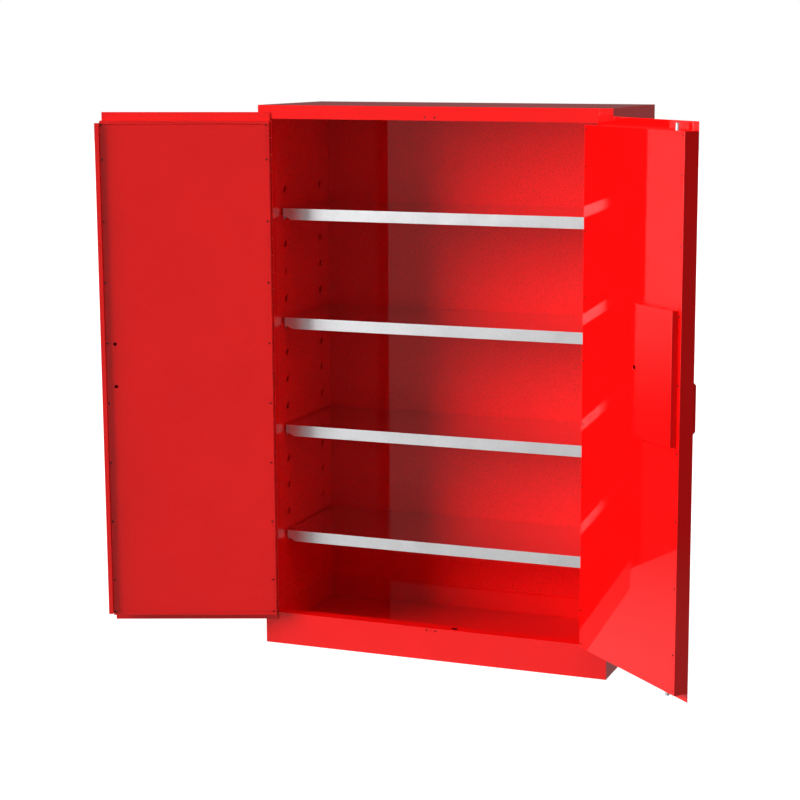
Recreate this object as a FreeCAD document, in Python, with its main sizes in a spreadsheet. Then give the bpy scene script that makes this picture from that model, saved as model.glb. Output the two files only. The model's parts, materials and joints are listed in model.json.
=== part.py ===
import FreeCAD, Part
import Sketcher
import os
from math import cos, radians, sin

# Double-wall flammable storage cabinet with two hinged doors, both standing open.
# Millimetres. X runs across the front, Y runs back into the cabinet, Z is up.
# The origin is at the floor, in the middle of the base. Pieces of the carcass are drawn with
# Y measured back from the front face and then moved forward by half the depth.

doc = FreeCAD.newDocument("FlammableStorageCabinet")
sheet = doc.addObject("Spreadsheet::Sheet", "Sizes")

SIZES = [
    # carcass
    ("cab_width", 1092, "outer width"),
    ("cab_depth", 457, "outer depth"),
    ("cab_height", 1651, "outer height"),
    ("steel", 1.2, "sheet thickness"),
    ("air_space", 38, "air space between the two walls"),
    ("rear_flange", 20, "width of the flange that the back is welded to"),
    ("sill_height", 99.4, "top of the sill under the doors"),
    ("sump_depth", 51, "depth of the leak-proof sump below the sill"),
    ("pan_top", 115, "height of the sump pan's upstand"),
    # shelves and their supports
    ("shelf_top", 1341, "top of the highest shelf"),
    ("slot_pitch", 83, "distance between shelf slots"),
    ("slot_drop", 27, "slot centre below the top of its shelf"),
    ("slot_width", 12, "width of a shelf slot"),
    ("slot_front", 91, "front slot column, back from the front face"),
    ("slot_rear", 346, "rear slot column, back from the front face"),
    ("shelf_half", 500, "half the width of a shelf"),
    ("shelf_front", 65, "front of a shelf, back from the front face"),
    ("shelf_rear", 416, "rear of a shelf"),
    ("lip_height", 34, "height of a shelf's front lip"),
    ("side_lip", 22, "height of a shelf's side flanges"),
    ("lip_corner", 27, "length of the slanted corner of the front lip"),
    # doors
    ("hinge_side", 502.5, "hinge axis, out from the middle"),
    ("hinge_front", 2.1, "hinge axis, forward of the front face"),
    ("left_open", 159.5, "opening angle of the left door"),
    ("right_open", 137.4, "opening angle of the right door"),
    ("door_start", 3.1, "hinge edge of a door, from the hinge axis"),
    ("left_free", 501, "free edge of the left door, from the hinge axis"),
    ("right_free", 499.6, "free edge of the right door, from the hinge axis"),
    ("skin_front", 0.4, "outer face of a door, behind the hinge axis"),
    ("door_back", 44, "inner face of a door, behind the hinge axis"),
    ("box_bottom", 104, "bottom of a door's box"),
    ("box_top", 1606, "top of a door's box"),
    ("skin_bottom", 79, "bottom of a door's outer sheet"),
    ("skin_top", 1630.5, "top of a door's outer sheet"),
    ("door_flange", 16, "width of the flange under a door's liner"),
    # hinges
    ("knuckle_radius", 2.5, "outer radius of a hinge knuckle"),
    ("pin_radius", 1.25, "radius of a hinge pin"),
    ("leaf_width", 26, "width of a hinge leaf"),
    ("knuckle_length", 50, "length of a hinge knuckle"),
    ("hinge_bottom", 105, "lower end of the hinges"),
    # pull handles
    ("pull_distance", 473, "pull handle, from the hinge axis"),
    ("pull_middle", 878.2, "height of the middle of a pull handle"),
    ("pull_centres", 128.7, "distance between the screws of a pull handle"),
    ("pull_width", 14, "width of a pull handle"),
    ("pull_bar", 6.5, "thickness of a pull handle's bar"),
    ("pull_reach", 21.5, "how far a pull handle stands out"),
    # lock
    ("latch_distance", 387, "latch spindle, from the hinge axis"),
    ("latch_middle", 963, "height of the latch spindle"),
    ("spindle_radius", 6, "radius of the latch spindle"),
    ("cam_radius", 19.18, "distance of a cam pin from the spindle"),
    ("cam_angle", 35, "angle of the cam pins above and below level"),
    ("rod_distance", 434, "bolt rods, from the hinge axis"),
    ("rod_inset", 22.5, "bolt rods, behind the hinge axis"),
    ("rod_radius", 6.35, "radius of a bolt rod"),
    ("bolt_reach", 20, "how far a thrown bolt stands out of the door's box"),
    ("cover_start", 289, "hinge edge of the lock cover, from the hinge axis"),
    ("cover_end", 484.5, "free edge of the lock cover, from the hinge axis"),
    ("cover_bottom", 782, "bottom of the lock cover"),
    ("cover_top", 1143, "top of the lock cover"),
    ("cover_depth", 18, "depth of the lock cover"),
]


class Dim:
    """A length known both as a number and as the spreadsheet expression that gives it."""

    def __init__(self, text, number):
        self.text = text
        self.number = number

    def __add__(self, other):
        return Dim("(%s + %s)" % (self.text, text_of(other)), self.number + number_of(other))

    def __sub__(self, other):
        return Dim("(%s - %s)" % (self.text, text_of(other)), self.number - number_of(other))

    def __mul__(self, factor):
        return Dim("(%s * %s)" % (self.text, text_of(factor)), self.number * number_of(factor))

    def __truediv__(self, divisor):
        return Dim("(%s / %s)" % (self.text, text_of(divisor)), self.number / number_of(divisor))

    def __neg__(self):
        return Dim("(0 - %s)" % self.text, -self.number)


def text_of(length):
    return length.text if isinstance(length, Dim) else repr(round(float(length), 6))


def number_of(length):
    return length.number if isinstance(length, Dim) else float(length)


S = {}
for row, (alias, number, note) in enumerate(SIZES, start=1):
    sheet.set("A%d" % row, alias)
    sheet.set("B%d" % row, str(number))
    sheet.setAlias("B%d" % row, alias)
    sheet.set("C%d" % row, note)
    S[alias] = Dim("Sizes.%s" % alias, float(number))
doc.recompute()

T = S["steel"]
HALF = S["cab_width"] / 2
DEPTH = S["cab_depth"]
HEIGHT = S["cab_height"]
FRONT = -DEPTH / 2
WALL = S["air_space"] + T * 2
INNER_X = HALF - WALL
INNER_Y = DEPTH - WALL
HEAD_Z = HEIGHT - WALL
SILL_Z = S["sill_height"]
SUMP_Z = SILL_Z - S["sump_depth"]

TOOL = 10    # length of the tools that drill through sheet steel
PAST = 1     # how far other cutting tools run past the faces that they cut

SHELF_COUNT = 4
SLOTS_PER_SHELF = 4
SLOT_ROWS = 14
LEFT = 1
RIGHT = -1

nodes = []


# ---------------------------------------------------------------- building blocks

def bind(obj, prop, length):
    obj.setExpression(prop, text_of(length))


def block(name, x_range, y_range, z_range):
    """A box given by its lowest and highest value along each axis."""
    solid = doc.addObject("Part::Box", name)
    for prop, axis, (low, high) in zip(("Length", "Width", "Height"), "xyz", (x_range, y_range, z_range)):
        bind(solid, prop, Dim(text_of(high), number_of(high)) - low)
        bind(solid, "Placement.Base." + axis, low)
    return solid


def rod(name, axis, start, radius, length):
    """A cylinder that runs along +X, +Y or +Z from its start point."""
    solid = doc.addObject("Part::Cylinder", name)
    turn = {
        "x": FreeCAD.Rotation(FreeCAD.Vector(0, 1, 0), 90),
        "y": FreeCAD.Rotation(FreeCAD.Vector(1, 0, 0), -90),
        "z": FreeCAD.Rotation(),
    }[axis]
    solid.Placement = FreeCAD.Placement(FreeCAD.Vector(), turn)
    bind(solid, "Radius", radius)
    bind(solid, "Height", length)
    for letter, place in zip("xyz", start):
        bind(solid, "Placement.Base." + letter, place)
    return solid


def fuse(name, shapes):
    union = doc.addObject("Part::MultiFuse", name)
    union.Shapes = shapes
    union.Refine = True
    return union


def group(name, shapes):
    """Separate solids kept in one object."""
    compound = doc.addObject("Part::Compound", name)
    compound.Links = shapes
    return compound


def cut(name, base, tools):
    """The base with the tools taken away."""
    difference = doc.addObject("Part::Cut", name)
    difference.Base = base
    difference.Tool = tools[0] if len(tools) == 1 else group(name + "_tools", tools)
    difference.Refine = True
    return difference


def body_of(name):
    return doc.addObject("PartDesign::Body", name)


def origin_feature(body, role):
    return [item for item in body.Origin.OriginFeatures if item.Role == role][0]


def sketch_on(body, name, plane, offset=0):
    sketch = body.newObject("Sketcher::SketchObject", name)
    sketch.AttachmentSupport = [(origin_feature(body, plane), "")]
    sketch.MapMode = "FlatFace"
    bind(sketch, "AttachmentOffset.Base.z", offset)
    return sketch


def outline(body, name, plane, points, offset=0):
    """A closed polygon whose corners are each held by two dimensions."""
    sketch = sketch_on(body, name, plane, offset)
    corners = [FreeCAD.Vector(number_of(px), number_of(py), 0) for px, py in points]
    count = len(points)
    for i in range(count):
        sketch.addGeometry(Part.LineSegment(corners[i], corners[(i + 1) % count]))
    for i in range(count):
        sketch.addConstraint(Sketcher.Constraint("Coincident", i, 2, (i + 1) % count, 1))
    for i, point in enumerate(points):
        for kind, length in zip(("DistanceX", "DistanceY"), point):
            rule = Sketcher.Constraint(kind, -1, 1, i, 1, number_of(length))
            index = sketch.addConstraint(rule)
            bind(sketch, "Constraints[%d]" % index, length)
    return sketch


def rings(body, name, plane, centre, radii, offset=0):
    """Circles about one centre."""
    sketch = sketch_on(body, name, plane, offset)
    middle = FreeCAD.Vector(number_of(centre[0]), number_of(centre[1]), 0)
    for i, radius in enumerate(radii):
        sketch.addGeometry(Part.Circle(middle, FreeCAD.Vector(0, 0, 1), number_of(radius)))
        rules = [("DistanceX", (-1, 1, i, 3), centre[0]), ("DistanceY", (-1, 1, i, 3), centre[1])]
        for kind, place, length in rules:
            index = sketch.addConstraint(Sketcher.Constraint(kind, *place, number_of(length)))
            bind(sketch, "Constraints[%d]" % index, length)
        index = sketch.addConstraint(Sketcher.Constraint("Radius", i, number_of(radius)))
        bind(sketch, "Constraints[%d]" % index, radius)
    return sketch


def pad(body, sketch, length, midplane=False, reverse=False):
    feature = body.newObject("PartDesign::Pad", sketch.Name + "_pad")
    feature.Profile = sketch
    bind(feature, "Length", length)
    feature.Midplane = midplane
    feature.Reversed = reverse
    return feature


def pocket_through(body, sketch):
    """Cuts both ways through everything, and says so if it has cut nothing."""
    doc.recompute()
    before = body.Shape.Volume
    feature = body.newObject("PartDesign::Pocket", sketch.Name + "_pocket")
    feature.Profile = sketch
    feature.Type = "ThroughAll"
    feature.Midplane = True
    doc.recompute()
    if body.Shape.Volume >= before:
        raise RuntimeError(sketch.Name + " cuts nothing")
    return feature


def repeat(body, feature, axis, pitch, count):
    """A linear pattern of one feature, count in all."""
    pattern = body.newObject("PartDesign::LinearPattern", feature.Name + "_pattern")
    pattern.Originals = [feature]
    pattern.Direction = (origin_feature(body, axis), [""])
    bind(pattern, "Length", Dim(text_of(pitch), number_of(pitch)) * (count - 1))
    pattern.Occurrences = count
    body.Tip = pattern
    return pattern


def plate(name, plane, points, thickness, offset=0, midplane=False, reverse=False):
    """A body that is one padded outline."""
    body = body_of(name)
    pad(body, outline(body, name + "_outline", plane, points, offset), thickness, midplane, reverse)
    return body


def node(obj, label):
    """Marks an object as a finished piece of the cabinet."""
    obj.Label = label
    nodes.append(obj)
    return obj


def across(side, x_range):
    """A range measured outwards from the middle, turned to the left or right side."""
    low, high = x_range
    if side == RIGHT:
        return (-Dim(text_of(high), number_of(high)), -Dim(text_of(low), number_of(low)))
    return (low, high)


def signed(side, length):
    return -Dim(text_of(length), number_of(length)) if side == RIGHT else length


def ordered(first, second):
    """Two lengths as a range, lowest first."""
    return sorted([first, second], key=number_of)


def around(middle, half):
    """A range that reaches equally far to both sides of a middle."""
    return (middle - half, middle + half)


def on_carcass(obj):
    """Moves a piece that is drawn from the front face to its place over the base."""
    bind(obj, "Placement.Base.y", FRONT)
    return obj


def door_block(name, side, u_range, y_range, z_range):
    """A box in a door's own frame: u runs from the hinge axis to the free edge."""
    return block(name, across(side, u_range), y_range, z_range)


def on_door(obj, side):
    """Swings a piece from the closed door's frame to where the open door stands."""
    bind(obj, "Placement.Base.x", -S["hinge_side"] if side == LEFT else S["hinge_side"])
    bind(obj, "Placement.Base.y", FRONT - S["hinge_front"])
    bind(obj, "Placement.Rotation.Angle", -S["left_open"] if side == LEFT else S["right_open"])
    return obj


def side_name(side):
    return "left" if side == LEFT else "right"


# ---------------------------------------------------------------- carcass

def outer_side(side):
    """Side sheet with the front stile flange and the rear flange."""
    out = -1 if side == LEFT else 1
    profile = [
        (HALF * out, 0),
        (INNER_X * out, 0),
        (INNER_X * out, T),
        ((HALF - T) * out, T),
        ((HALF - T) * out, DEPTH - T),
        ((HALF - S["rear_flange"]) * out, DEPTH - T),
        ((HALF - S["rear_flange"]) * out, DEPTH),
        (HALF * out, DEPTH),
    ]
    label = "outer_side_" + side_name(side)
    node(on_carcass(plate(label, "XY_Plane", profile, HEIGHT)), label)


BOLT_HOLE_RADIUS = 10
BOLT_X = S["hinge_side"] - S["rod_distance"]
BOLT_Y = S["rod_inset"] - S["hinge_front"]
STRIKE_HOLE_RADIUS = 9
STRIKE_SCREWS_X = (-15, 15)
STRIKE_HEAD_RADIUS = 2.5
STRIKE_SHANK_RADIUS = 1.8
STRIKE_SHANK_LENGTH = 5
STRIKE_HEAD_INSET = 0.2
STRIKE_STEEL = 2.0
STRIKE_WIDTH = (-30, 95)
STRIKE_DEPTH = 38
STRIKE_RISE = 18
HEAD_SCREW_Z = HEAD_Z + 9.2
SILL_SCREW_Z = SILL_Z - 7.4
SCREW_GAP = 0.1


def rail(label, profile, bolt_z, screw_z):
    """A front rail with the lock bolt's hole and two small screw holes."""
    blank = plate(label + "_blank", "YZ_Plane", profile, INNER_X * 2, midplane=True)
    bolt_start = (BOLT_X, BOLT_Y, bolt_z - TOOL / 2)
    holes = [rod(label + "_bolt_hole", "z", bolt_start, BOLT_HOLE_RADIUS, TOOL)]
    for i, x in enumerate(STRIKE_SCREWS_X):
        name = "%s_screw_hole_%d" % (label, i)
        holes.append(rod(name, "y", (x, -TOOL / 2, screw_z), STRIKE_HEAD_RADIUS + SCREW_GAP, TOOL))
    node(on_carcass(cut(label, blank, holes)), label)


def rails():
    head = [(0, HEAD_Z), (WALL, HEAD_Z), (WALL, HEAD_Z + T), (T, HEAD_Z + T), (T, HEIGHT), (0, HEIGHT)]
    sill = [(0, 0), (T, 0), (T, SILL_Z - T), (WALL, SILL_Z - T), (WALL, SILL_Z), (0, SILL_Z)]
    rail("header_rail", head, HEAD_Z, HEAD_SCREW_Z)
    rail("sill_rail", sill, SILL_Z, SILL_SCREW_Z)


def outer_sheets():
    wide = (T - HALF, HALF - T)
    between = (FRONT + T, FRONT + DEPTH - T * 2)
    node(block("outer_top", wide, between, (HEIGHT - T, HEIGHT)), "outer_top")
    node(block("outer_bottom", wide, between, (0, T)), "outer_bottom")
    back = (FRONT + DEPTH - T * 2, FRONT + DEPTH - T)
    node(block("outer_back", wide, back, (0, HEIGHT)), "outer_back")


SLOT_HALF_HEIGHT = 9
SLOT_LEAN = 5
SLOT_HOOK = 4
SLOT_SLOPE = 8


def slot_outline(y, z):
    """A shelf slot: upright, with a short hook that leans back at its top."""
    near = y - S["slot_width"] / 2
    far = y + S["slot_width"] / 2
    low = z - SLOT_HALF_HEIGHT
    high = z + SLOT_HALF_HEIGHT
    return [
        (near, low),
        (far, low),
        (far, high - SLOT_HOOK - SLOT_LEAN),
        (far + SLOT_LEAN, high - SLOT_HOOK),
        (far + SLOT_LEAN, high),
        (far - PAST, high),
        (near, high - SLOT_SLOPE),
    ]


def inner_side(side):
    """Inner side sheet with its two columns of shelf slots."""
    label = "inner_side_" + side_name(side)
    body = body_of(label)
    sheet_outline = [(T, T), (INNER_Y, T), (INNER_Y, HEAD_Z + T), (T, HEAD_Z + T)]
    if side == LEFT:
        offset = -INNER_X - T
    else:
        offset = INNER_X
    pad(body, outline(body, label + "_sheet", "YZ_Plane", sheet_outline, offset), T)
    lowest = S["shelf_top"] - S["slot_drop"] - S["slot_pitch"] * (SLOT_ROWS - 2)
    for column in ("slot_front", "slot_rear"):
        slot = outline(body, "%s_%s" % (label, column), "YZ_Plane", slot_outline(S[column], lowest), offset)
        repeat(body, pocket_through(body, slot), "Z_Axis", S["slot_pitch"], SLOT_ROWS)
    node(on_carcass(body), label)


def inner_sheets():
    wide = (-INNER_X - T, INNER_X + T)
    back = (FRONT + INNER_Y, FRONT + INNER_Y + T)
    node(block("inner_back", wide, back, (T, HEAD_Z + T)), "inner_back")
    between = (FRONT + WALL, FRONT + INNER_Y)
    node(block("inner_ceiling", (-INNER_X, INNER_X), between, (HEAD_Z, HEAD_Z + T)), "inner_ceiling")


def sump_pan():
    """A tray inside the inner sheets: three tall walls, and a low one behind the sill."""
    outer = block("pan_outer", (-INNER_X, INNER_X), (WALL, INNER_Y), (SUMP_Z - T, S["pan_top"]))
    above = S["pan_top"] + PAST
    hollow = block("pan_hollow", (T - INNER_X, INNER_X - T), (WALL + T, INNER_Y - T), (SUMP_Z, above))
    front = block("pan_front", (-INNER_X - PAST, INNER_X + PAST), (WALL - PAST, WALL + T), (SILL_Z, above))
    node(on_carcass(cut("sump_pan", outer, [hollow, front])), "sump_pan")


def strike_plate(label, leg_z, flange_z, screw_z):
    """An angle behind a rail, with the hole that a lock bolt enters."""
    leg = block(label + "_leg", STRIKE_WIDTH, (T, T + STRIKE_STEEL), leg_z)
    flange = block(label + "_flange", STRIKE_WIDTH, (T, STRIKE_DEPTH), flange_z)
    bolt_start = (BOLT_X, BOLT_Y, flange_z[0] - PAST)
    holes = [rod(label + "_hole", "z", bolt_start, STRIKE_HOLE_RADIUS, STRIKE_STEEL + PAST * 2)]
    for i, x in enumerate(STRIKE_SCREWS_X):
        name = "%s_screw_%d" % (label, i)
        holes.append(rod(name, "y", (x, 0, screw_z), STRIKE_SHANK_RADIUS + SCREW_GAP, TOOL))
    node(on_carcass(cut(label, fuse(label + "_angle", [leg, flange]), holes)), label)


def strike_screws():
    screws = []
    for row, z in enumerate((SILL_SCREW_Z, HEAD_SCREW_Z)):
        for i, x in enumerate(STRIKE_SCREWS_X):
            tag = "strike_screw_%d_%d" % (row, i)
            head_length = T - STRIKE_HEAD_INSET
            head = rod(tag + "_head", "y", (x, STRIKE_HEAD_INSET, z), STRIKE_HEAD_RADIUS, head_length)
            shank = rod(tag + "_shank", "y", (x, head_length, z), STRIKE_SHANK_RADIUS, STRIKE_SHANK_LENGTH)
            screws.append(fuse(tag, [head, shank]))
    node(on_carcass(group("strike_screws", screws)), "strike_screws")


def strikes():
    above = HEAD_Z + T
    below = SILL_Z - T
    top_leg = (above, above + STRIKE_RISE)
    bottom_leg = (below - STRIKE_RISE, below)
    strike_plate("strike_plate_top", top_leg, (above, above + STRIKE_STEEL), HEAD_SCREW_Z)
    strike_plate("strike_plate_bottom", bottom_leg, (below - STRIKE_STEEL, below), SILL_SCREW_Z)
    strike_screws()


# ---------------------------------------------------------------- shelves

HEM_WIDTH = 12


def shelf(number, top):
    """A galvanised tray turned upside down, with slanted corners on its front lip."""
    label = "shelf_%d" % number
    half = S["shelf_half"]
    low = top - S["lip_height"]
    lip = [
        (-half, top),
        (-half, top - S["side_lip"]),
        (S["lip_corner"] - half, low),
        (half - S["lip_corner"], low),
        (half, top - S["side_lip"]),
        (half, top),
    ]
    body = body_of(label)
    pad(body, outline(body, label + "_front_lip", "XZ_Plane", lip, -S["shelf_front"]), T, reverse=True)
    pad(body, outline(body, label + "_rear_lip", "XZ_Plane", lip, T - S["shelf_rear"]), T, reverse=True)
    deck = [
        (-half, S["shelf_front"]),
        (half, S["shelf_front"]),
        (half, S["shelf_rear"]),
        (-half, S["shelf_rear"]),
    ]
    pad(body, outline(body, label + "_deck", "XY_Plane", deck, top - T), T)
    for side in (-1, 1):
        flange = [
            (half * side, S["shelf_front"]),
            ((half - T) * side, S["shelf_front"]),
            ((half - T) * side, S["shelf_rear"]),
            (half * side, S["shelf_rear"]),
        ]
        name = "%s_side_%s" % (label, "right" if side > 0 else "left")
        pad(body, outline(body, name, "XY_Plane", flange, top - S["side_lip"]), S["side_lip"])
    hem = [
        (S["lip_corner"] - half, S["shelf_front"]),
        (half - S["lip_corner"], S["shelf_front"]),
        (half - S["lip_corner"], S["shelf_front"] + HEM_WIDTH),
        (S["lip_corner"] - half, S["shelf_front"] + HEM_WIDTH),
    ]
    pad(body, outline(body, label + "_hem", "XY_Plane", hem, low), T)
    node(on_carcass(body), label)


CLIP_STEEL = 2
CLIP_WIDTH = 16
CLIP_TAB = 9
CLIP_RISE = 18
HOOK_WIDTH = 7
HOOK_BELOW = 4
HOOK_ABOVE = 1
HOOK_TOE = 12
HOOK_GAP = 0.4


def outwards(side, near, far):
    """The X range between two distances from the middle, on the left or right side."""
    out = -1 if side == LEFT else 1
    return ordered(near * out, far * out)


def shelf_clips(number, top):
    """Four clips: a plate behind the shelf's side, a hook through the slot and a tab below."""
    clips = []
    tab_z = top - S["side_lip"]
    slot_z = top - S["slot_drop"]
    hook_top = slot_z + HOOK_ABOVE
    hook_end = INNER_X + T + CLIP_STEEL
    for side in (LEFT, RIGHT):
        wall_x = outwards(side, INNER_X, INNER_X - CLIP_STEEL)
        tab_x = outwards(side, INNER_X, INNER_X - CLIP_TAB)
        hook_x = outwards(side, INNER_X - CLIP_STEEL / 2, hook_end)
        back_x = outwards(side, INNER_X + T + HOOK_GAP, hook_end)
        for column in ("slot_front", "slot_rear"):
            tag = "clip_%d_%s_%s" % (number, side_name(side), column)
            y_range = (S[column] - CLIP_WIDTH / 2, S[column] + CLIP_WIDTH / 2)
            hook_y = (S[column] - HOOK_WIDTH / 2, S[column] + HOOK_WIDTH / 2)
            pieces = [
                block(tag + "_plate", wall_x, y_range, (slot_z - HOOK_BELOW, tab_z + CLIP_RISE)),
                block(tag + "_tab", tab_x, y_range, (tab_z - CLIP_STEEL, tab_z)),
                block(tag + "_hook", hook_x, hook_y, (slot_z - HOOK_BELOW, hook_top)),
                block(tag + "_toe", back_x, hook_y, (slot_z - HOOK_TOE, hook_top)),
            ]
            clips.append(fuse(tag, pieces))
    label = "shelf_clips_%d" % number
    node(on_carcass(group(label, clips)), label)


def shelves():
    for i in range(SHELF_COUNT):
        top = S["shelf_top"] - S["slot_pitch"] * (SLOTS_PER_SHELF * i)
        shelf(i + 1, top)
        shelf_clips(i + 1, top)


# ---------------------------------------------------------------- hinges

KNUCKLES = 15
KNUCKLE_GAP = 0.5
KNUCKLE_BORE_CLEARANCE = 0.05
LEAF_CLEARANCE = 0.7


def hinge_leaf(label, leaf_x, first, start):
    """One leaf of a full-height hinge, in the frame of the hinge axis."""
    low_x, high_x = leaf_x
    step = S["knuckle_length"] * 2
    end = S["hinge_bottom"] + S["knuckle_length"] * (KNUCKLES * 2)
    body = body_of(label)
    leaf = [(low_x, 0), (high_x, 0), (high_x, S["leaf_width"]), (low_x, S["leaf_width"])]
    pad(body, outline(body, label + "_leaf", "XY_Plane", leaf, S["hinge_bottom"]), end - S["hinge_bottom"])
    clear = S["knuckle_radius"] + LEAF_CLEARANCE
    first_z = S["hinge_bottom"] + S["knuckle_length"] * first
    notch_z = S["hinge_bottom"] + S["knuckle_length"] * (1 - first)
    notch = [
        (-PAST, notch_z),
        (clear, notch_z),
        (clear, notch_z + S["knuckle_length"]),
        (-PAST, notch_z + S["knuckle_length"]),
    ]
    notch_sketch = outline(body, label + "_notch", "YZ_Plane", notch, start)
    repeat(body, pocket_through(body, notch_sketch), "Z_Axis", step, KNUCKLES)
    radii = (S["knuckle_radius"], S["pin_radius"] + KNUCKLE_BORE_CLEARANCE)
    ring = rings(body, label + "_knuckle", "XY_Plane", (0, 0), radii, first_z + KNUCKLE_GAP / 2)
    knuckle = pad(body, ring, S["knuckle_length"] - KNUCKLE_GAP)
    repeat(body, knuckle, "Z_Axis", step, KNUCKLES)
    return body


def hinges():
    leaf_far = S["door_start"]
    leaf_near = S["door_start"] - T
    for side in (LEFT, RIGHT):
        name = side_name(side)
        hinge_x = -S["hinge_side"] if side == LEFT else S["hinge_side"]
        frame_x = across(side, (-leaf_far, -leaf_near))
        fixed = hinge_leaf("hinge_frame_" + name, frame_x, 0, frame_x[0])
        bind(fixed, "Placement.Base.x", hinge_x)
        bind(fixed, "Placement.Base.y", FRONT - S["hinge_front"])
        node(fixed, "hinge_frame_" + name)
        door_x = across(side, (leaf_near, leaf_far))
        moving = hinge_leaf("%s_hinge_leaf" % name, door_x, 1, door_x[0])
        node(on_door(moving, side), "%s_hinge_leaf" % name)
        pin_length = S["knuckle_length"] * (KNUCKLES * 2)
        pin_start = (hinge_x, FRONT - S["hinge_front"], S["hinge_bottom"])
        node(rod("hinge_pin_" + name, "z", pin_start, S["pin_radius"], pin_length), "hinge_pin_" + name)


# ---------------------------------------------------------------- doors

RIVET_END = 11.5
RIVET_FIRST = 111.5
RIVET_PITCH = 182.5
RIVET_ROWS = 8
RIVET_HOLE_RADIUS = 1.65
RIVET_SHANK_RADIUS = 1.6
RIVET_HEAD_RADIUS = 2.6
RIVET_HEAD_HEIGHT = 0.8
RIVET_TAIL = 1
HINGE_RIVETS = 11
FREE_RIVETS = {LEFT: 5, RIGHT: 9.4}
SCREW_ACCESS_RADIUS = 5
ROD_HOLE_RADIUS = 7
SPINDLE_HOLE_GAP = 1
COVER_FRAME = 12
COVER_FRAME_FREE = 8

SKIN_Y = (S["skin_front"], S["skin_front"] + T)
LINER_Y = (S["door_back"] - T, S["door_back"])


def free_edge(side):
    return S["left_free"] if side == LEFT else S["right_free"]


def rivet_places(side):
    """The (u, z) of every rivet: ten up each upright edge of a door."""
    rows = [S["box_bottom"] + RIVET_END, S["box_top"] - RIVET_END]
    for k in range(RIVET_ROWS):
        rows.append(S["box_bottom"] + (RIVET_FIRST + RIVET_PITCH * k))
    columns = [Dim(text_of(HINGE_RIVETS), HINGE_RIVETS), free_edge(side) - FREE_RIVETS[side]]
    return [(u, z) for u in columns for z in rows]


def pull_screw_places():
    return [S["pull_middle"] - S["pull_centres"] / 2, S["pull_middle"] + S["pull_centres"] / 2]


def drill(name, side, places, radius, y, length=TOOL):
    """Round tools through a door from a given y, one at each (u, z)."""
    tools = []
    for i, (u, z) in enumerate(places):
        tools.append(rod("%s_%d" % (name, i), "y", (signed(side, u), y, z), radius, length))
    return tools


def door_skin(side):
    """Outer pan: the outer sheet, four side walls and the flanges under the liner."""
    label = side_name(side) + "_door_skin"
    start = S["door_start"]
    free = free_edge(side)
    bottom = S["box_bottom"]
    top = S["box_top"]
    wall_y = (SKIN_Y[1], LINER_Y[0])
    flange_y = (LINER_Y[0] - T, LINER_Y[0])
    wide = S["door_flange"]
    pieces = [
        door_block(label + "_front", side, (start, free), SKIN_Y, (S["skin_bottom"], S["skin_top"])),
        door_block(label + "_hinge_wall", side, (start, start + T), wall_y, (bottom, top)),
        door_block(label + "_free_wall", side, (free - T, free), wall_y, (bottom, top)),
        door_block(label + "_bottom_wall", side, (start, free), wall_y, (bottom, bottom + T)),
        door_block(label + "_top_wall", side, (start, free), wall_y, (top - T, top)),
        door_block(label + "_hinge_flange", side, (start, start + wide), flange_y, (bottom, top)),
        door_block(label + "_free_flange", side, (free - wide, free), flange_y, (bottom, top)),
        door_block(label + "_bottom_flange", side, (start, free), flange_y, (bottom, bottom + wide)),
        door_block(label + "_top_flange", side, (start, free), flange_y, (top - wide, top)),
    ]
    pull = [(S["pull_distance"], z) for z in pull_screw_places()]
    skin_tool = SKIN_Y[0] - TOOL / 2
    holes = drill(label + "_pull", side, pull, PULL_SCREW_RADIUS + SCREW_GAP, skin_tool)
    holes += drill(label + "_rivet", side, rivet_places(side), RIVET_HOLE_RADIUS, LINER_Y[0] - TOOL / 2)
    if side == RIGHT:
        spindle = [(S["latch_distance"], S["latch_middle"])]
        holes += drill(label + "_spindle", side, spindle, S["spindle_radius"] + SPINDLE_HOLE_GAP, skin_tool)
        rod_x = signed(side, S["rod_distance"])
        for i, z in enumerate((bottom, top)):
            start = (rod_x, S["rod_inset"], z - TOOL / 2)
            holes.append(rod("%s_rod_hole_%d" % (label, i), "z", start, ROD_HOLE_RADIUS, TOOL))
    node(on_door(cut(label, fuse(label + "_pan", pieces), holes), side), label)


def door_liner(side):
    """Inner sheet, riveted to the pan's flanges."""
    label = side_name(side) + "_door_liner"
    sheet_z = (S["box_bottom"], S["box_top"])
    blank = door_block(label + "_sheet", side, (S["door_start"], free_edge(side)), LINER_Y, sheet_z)
    tool_y = LINER_Y[0] - TOOL / 2
    holes = drill(label + "_rivet", side, rivet_places(side), RIVET_HOLE_RADIUS, tool_y)
    if side == LEFT:
        pull = [(S["pull_distance"], z) for z in pull_screw_places()]
        holes += drill(label + "_access", side, pull, SCREW_ACCESS_RADIUS, tool_y)
    else:
        window_u = (S["cover_start"] + COVER_FRAME, S["cover_end"] - COVER_FRAME_FREE)
        window_z = (S["cover_bottom"] + COVER_FRAME, S["cover_top"] - COVER_FRAME)
        window_y = (LINER_Y[0] - PAST, LINER_Y[1] + PAST)
        holes.append(door_block(label + "_window", side, window_u, window_y, window_z))
        holes += drill(label + "_cover", side, cover_screw_places(), COVER_SHANK_RADIUS + FIT, tool_y)
    node(on_door(cut(label, blank, holes), side), label)


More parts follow.
